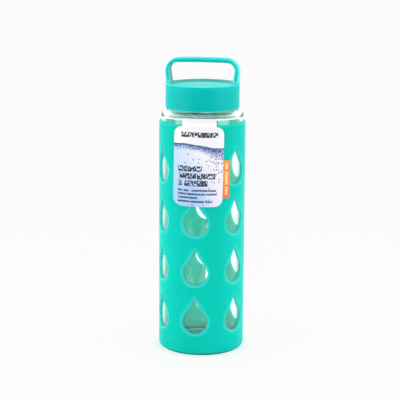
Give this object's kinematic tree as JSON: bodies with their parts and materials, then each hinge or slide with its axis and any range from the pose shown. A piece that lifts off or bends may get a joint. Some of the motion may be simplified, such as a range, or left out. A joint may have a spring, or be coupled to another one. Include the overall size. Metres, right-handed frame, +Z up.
{
  "type": "glass water bottle",
  "caption": "Wide-mouth glass drinking bottle in a silicone sleeve with drop-shaped windows, closed by a screw cap with a carry loop.",
  "frame": {"origin": "centre of the base, on the surface the bottle stands on", "axes": "+Z up along the bottle's axis, the label faces -Y, +X to the right when the label is seen from the front"},
  "size_m": [0.07, 0.0704, 0.239],
  "materials": {
    "clear_glass": "clear, polished",
    "sleeve_silicone": "satin silicone",
    "label_print": "coated print",
    "sticker_print": "coated print",
    "cap_plastic": "satin moulded",
    "liner_plastic": "natural moulded",
    "seal_silicone": "translucent silicone"
  },
  "bodies": {
    "bottle": {"glass_bottle": "clear_glass", "silicone_sleeve": "sleeve_silicone", "label_card": "label_print", "label_sticker": "sticker_print"},
    "seal": {"seal_ring": "seal_silicone"},
    "cap": {"cap_shell": "cap_plastic", "thread_liner": "liner_plastic"}
  },
  "joints": [
    {"name": "cap_rise", "type": "slide", "parent": "bottle", "child": "seal", "axis": [0, 0, 1], "range_m": [0, 0.016]},
    {"name": "cap_turn", "type": "hinge", "parent": "seal", "child": "cap", "pos_m": [0, 0, 0.2], "axis": [0, 0, 1], "range_deg": [0, 1440]}
  ],
  "couplings": [
    {"joint": "cap_rise", "follows": "cap_turn", "m_per_rad": 0.00063662}
  ]
}
